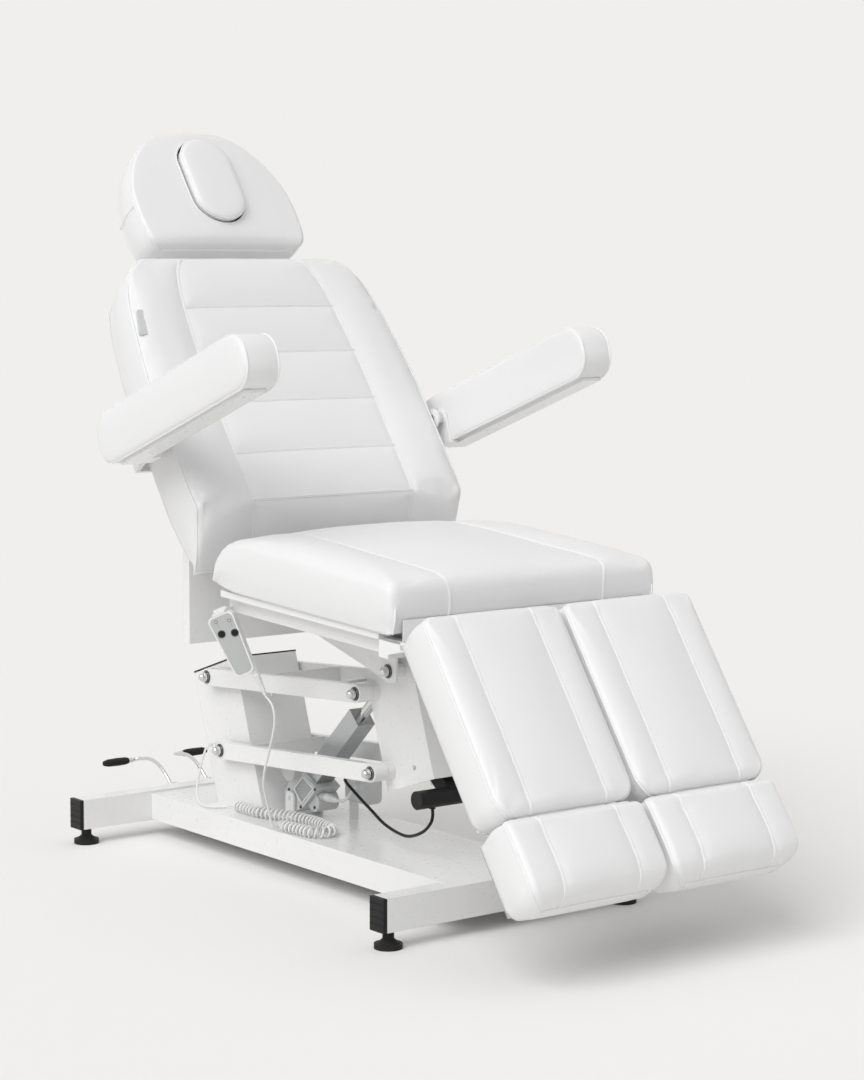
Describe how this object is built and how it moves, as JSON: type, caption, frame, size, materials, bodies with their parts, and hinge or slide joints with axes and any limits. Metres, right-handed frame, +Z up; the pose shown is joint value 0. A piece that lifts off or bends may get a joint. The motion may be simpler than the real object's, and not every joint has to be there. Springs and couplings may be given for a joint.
{
  "type": "podiatry chair",
  "caption": "Electric podiatry treatment chair on an H-shaped base with a parallelogram lift, split leg rests, swing armrests and a headrest with a removable face plug",
  "frame": {"origin": "middle of the base on the floor, under the levelling feet", "axes": "+X to the right seen from the front, +Y towards the backrest, +Z up"},
  "size_m": [0.844, 1.627, 1.4284],
  "materials": {
    "white_metal": "glossy",
    "white_vinyl": "satin",
    "white_plastic": "satin",
    "black_plastic": "satin",
    "chrome": "polished",
    "steel": "satin",
    "grey_plastic": "satin",
    "covered_board": "matte",
    "white_cord": "satin",
    "black_cord": "satin"
  },
  "bodies": {
    "root": {"base_frame": "white_metal", "bar_end_caps": "black_plastic", "levelling_feet": "black_plastic", "column": "white_metal", "column_edge_trim": "black_plastic", "column_pivot_bolts": "chrome", "control_box": "grey_plastic", "motor_cable": "white_cord", "tilt_cable": "black_cord", "curly_cord": "white_cord", "tail_lead": "white_cord"},
    "pedal_left": {"pedal_left": "chrome", "pedal_grip_left": "black_plastic"},
    "pedal_right": {"pedal_right": "chrome", "pedal_grip_right": "black_plastic"},
    "upper_links": {"upper_link": "white_metal", "upper_link_bushes": "black_plastic"},
    "lower_links": {"lower_link": "white_metal", "lower_link_bushes": "black_plastic"},
    "carriage": {"carriage": "white_metal", "carriage_pivot_bolts": "chrome"},
    "lift_drive": {"lift_gearbox": "grey_plastic", "lift_strut": "steel", "motor_strain_relief": "white_plastic"},
    "lift_ram": {"lift_rod": "chrome"},
    "tilt_drive": {"tilt_actuator": "black_plastic"},
    "tilt_ram": {"tilt_rod": "chrome"},
    "seat": {"seat_frame": "white_metal", "seat_pivot_bolts": "chrome", "seat_board": "covered_board", "seat_cushion": "white_vinyl", "hinge_pins": "chrome", "handset_hook": "white_plastic", "handset_case": "white_plastic", "handset_face": "grey_plastic", "handset_strain_relief": "white_plastic", "handset_lead": "white_cord"},
    "up_button": {"button_up": "black_plastic"},
    "down_button": {"button_down": "black_plastic"},
    "back": {"back_frame": "white_metal", "back_board": "covered_board", "back_cushion": "white_vinyl", "armrest_pivots": "chrome"},
    "back_spring": {"back_spring_tube": "black_plastic"},
    "back_spring_ram": {"back_spring_rod": "chrome"},
    "headrest": {"headrest_posts": "chrome", "headrest_cushion": "white_vinyl"},
    "plug": {"face_plug": "white_vinyl"},
    "armrest_left": {"armrest_plate_left": "white_metal", "armrest_cushion_left": "white_vinyl"},
    "armrest_right": {"armrest_plate_right": "white_metal", "armrest_cushion_right": "white_vinyl"},
    "leg_left": {"leg_frame_left": "white_metal", "leg_cushion_left": "white_vinyl"},
    "leg_right": {"leg_frame_right": "white_metal", "leg_cushion_right": "white_vinyl"},
    "foot_left": {"foot_frame_left": "steel", "foot_cushion_left": "white_vinyl"},
    "foot_right": {"foot_frame_right": "steel", "foot_cushion_right": "white_vinyl"}
  },
  "joints": [
    {"name": "lift", "type": "hinge", "parent": "root", "child": "lower_links", "pos_m": [0, 0.27826, 0.20545], "axis": [-1, 0, 0], "range_deg": [0, 27]},
    {"name": "upper_link_turn", "type": "hinge", "parent": "root", "child": "upper_links", "pos_m": [0, 0.32554, 0.34675], "axis": [-1, 0, 0], "range_deg": [0, 27]},
    {"name": "carriage_level", "type": "hinge", "parent": "lower_links", "child": "carriage", "pos_m": [0, -0.22424, 0.23882], "axis": [-1, 0, 0], "range_deg": [-27, 0]},
    {"name": "lift_drive_turn", "type": "hinge", "parent": "root", "child": "lift_drive", "pos_m": [0, 0.128, 0.1265], "axis": [-1, 0, 0], "range_deg": [0, 23.2]},
    {"name": "lift_ram_slide", "type": "slide", "parent": "lift_drive", "child": "lift_ram", "axis": [0, -0.7234, 0.6904], "range_m": [0, 0.136]},
    {"name": "seat_tilt", "type": "hinge", "parent": "carriage", "child": "seat", "pos_m": [0, -0.25646, 0.43056], "axis": [-1, 0, 0], "range_deg": [0, 5]},
    {"name": "tilt_drive_turn", "type": "hinge", "parent": "carriage", "child": "tilt_drive", "pos_m": [0, -0.29758, 0.25598], "axis": [-1, 0, 0], "range_deg": [0, 2.2]},
    {"name": "tilt_ram_slide", "type": "slide", "parent": "tilt_drive", "child": "tilt_ram", "axis": [0, 0.4289, 0.9033], "range_m": [-0.0036, 0]},
    {"name": "back_recline", "type": "hinge", "parent": "seat", "child": "back", "pos_m": [0, 0.05889, 0.55873], "axis": [-1, 0, 0], "range_deg": [0, 54.5]},
    {"name": "back_spring_turn", "type": "hinge", "parent": "seat", "child": "back_spring", "pos_m": [0.046, -0.1973, 0.53509], "axis": [-1, 0, 0], "range_deg": [0, 4.9]},
    {"name": "back_spring_slide", "type": "slide", "parent": "back_spring", "child": "back_spring_ram", "axis": [0, 0.9961, -0.0886], "range_m": [-0.0545, 0]},
    {"name": "headrest_height", "type": "slide", "parent": "back", "child": "headrest", "axis": [0, 0.5807, 0.8141], "range_m": [0, 0.08]},
    {"name": "plug_lift", "type": "slide", "parent": "headrest", "child": "plug", "axis": [0, -0.8141, 0.5807], "range_m": [0, 0.09]},
    {"name": "armrest_left_turn", "type": "hinge", "parent": "back", "child": "armrest_left", "pos_m": [-0.342, 0.13379, 0.85661], "axis": [-1, 0, 0], "range_deg": [-50, 100]},
    {"name": "leg_left_raise", "type": "hinge", "parent": "seat", "child": "leg_left", "pos_m": [-0.1525, -0.56816, 0.52895], "axis": [-1, 0, 0], "range_deg": [0, 55]},
    {"name": "foot_left_slide", "type": "slide", "parent": "leg_left", "child": "foot_left", "axis": [0, -0.5736, -0.8192], "range_m": [0, 0.1]},
    {"name": "pedal_left_press", "type": "hinge", "parent": "root", "child": "pedal_left", "pos_m": [-0.044, 0.5445, 0.083], "axis": [-1, 0, 0], "range_deg": [0, 12], "stiffness_Nm_per_rad": 3, "springref_deg": -8.59},
    {"name": "armrest_right_turn", "type": "hinge", "parent": "back", "child": "armrest_right", "pos_m": [0.342, 0.13379, 0.85661], "axis": [-1, 0, 0], "range_deg": [-50, 100]},
    {"name": "leg_right_raise", "type": "hinge", "parent": "seat", "child": "leg_right", "pos_m": [0.1525, -0.56816, 0.52895], "axis": [-1, 0, 0], "range_deg": [0, 55]},
    {"name": "foot_right_slide", "type": "slide", "parent": "leg_right", "child": "foot_right", "axis": [0, -0.5736, -0.8192], "range_m": [0, 0.1]},
    {"name": "pedal_right_press", "type": "hinge", "parent": "root", "child": "pedal_right", "pos_m": [0.044, 0.5445, 0.083], "axis": [-1, 0, 0], "range_deg": [0, 12], "stiffness_Nm_per_rad": 3, "springref_deg": -8.59},
    {"name": "up_button_press", "type": "slide", "parent": "seat", "child": "up_button", "axis": [0.7061, 0.7061, 0.0523], "range_m": [0, 0.001], "stiffness_N_per_m": 400, "springref_m": -0.0005},
    {"name": "down_button_press", "type": "slide", "parent": "seat", "child": "down_button", "axis": [0.7061, 0.7061, 0.0523], "range_m": [0, 0.001], "stiffness_N_per_m": 400, "springref_m": -0.0005}
  ],
  "couplings": [
    {"joint": "upper_link_turn", "follows": "lift", "ratio": 1},
    {"joint": "carriage_level", "follows": "lift", "ratio": -1},
    {"joint": "lift_drive_turn", "follows": "lift", "ratio": 0.85827},
    {"joint": "lift_ram_slide", "follows": "lift", "m_per_rad": 0.28811},
    {"joint": "tilt_drive_turn", "follows": "seat_tilt", "ratio": 0.43495},
    {"joint": "tilt_ram_slide", "follows": "seat_tilt", "m_per_rad": -0.04049},
    {"joint": "back_spring_turn", "follows": "back_recline", "ratio": 0.08907},
    {"joint": "back_spring_slide", "follows": "back_recline", "m_per_rad": -0.057011}
  ]
}
